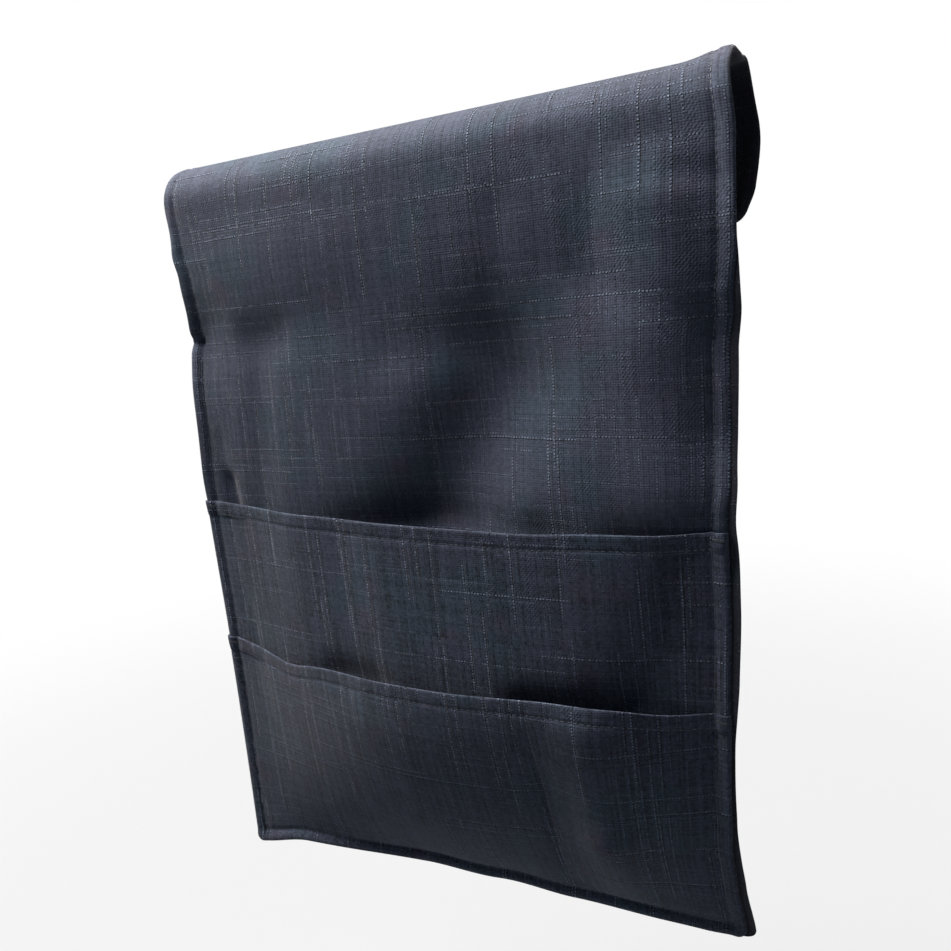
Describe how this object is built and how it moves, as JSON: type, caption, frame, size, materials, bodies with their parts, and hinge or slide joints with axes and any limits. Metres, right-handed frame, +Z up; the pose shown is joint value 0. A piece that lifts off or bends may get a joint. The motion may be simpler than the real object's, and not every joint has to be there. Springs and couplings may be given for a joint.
{
  "type": "armrest caddy",
  "caption": "Lined cloth strip that hangs over a chair arm, with stacked open-top pockets on its long front drop, a stitched divider and a short rear flap.",
  "frame": {"origin": "middle of the flat underside of the crown, where the strip rests on the chair arm", "axes": "+Z up, +X along the chair arm to the right as seen from the pockets, -Y out of the pocket side"},
  "size_m": [0.32, 0.1078, 0.4333],
  "materials": {
    "face_cloth": "dark slate slub weave, matt",
    "pocket_cloth": "dark slate slub weave, matt",
    "lining_cloth": "dark plain weave, matt",
    "interlining": "soft felt",
    "thread": "polyester sewing thread"
  },
  "bodies": {
    "saddle": {"face_saddle": "face_cloth", "interlining_saddle": "interlining", "lining_saddle": "lining_cloth", "edge_stitch_saddle": "thread"},
    "front_drop": {"face_front": "face_cloth", "interlining_front": "interlining", "lining_front": "lining_cloth", "upper_pocket": "pocket_cloth", "lower_pocket": "pocket_cloth", "edge_stitch_front": "thread", "upper_hem_stitch": "thread", "lower_hem_stitch": "thread", "divider_stitch": "thread", "bar_tacks": "thread"},
    "rear_flap": {"face_rear": "face_cloth", "interlining_rear": "interlining", "lining_rear": "lining_cloth", "edge_stitch_rear": "thread"}
  },
  "joints": [
    {"name": "front_lift", "type": "hinge", "parent": "saddle", "child": "front_drop", "pos_m": [0, -0.0337, -0.0195], "axis": [-1, 0, 0], "range_deg": [0, 95]},
    {"name": "rear_lift", "type": "hinge", "parent": "saddle", "child": "rear_flap", "pos_m": [0, 0.0337, -0.0195], "axis": [1, 0, 0], "range_deg": [0, 95]}
  ]
}
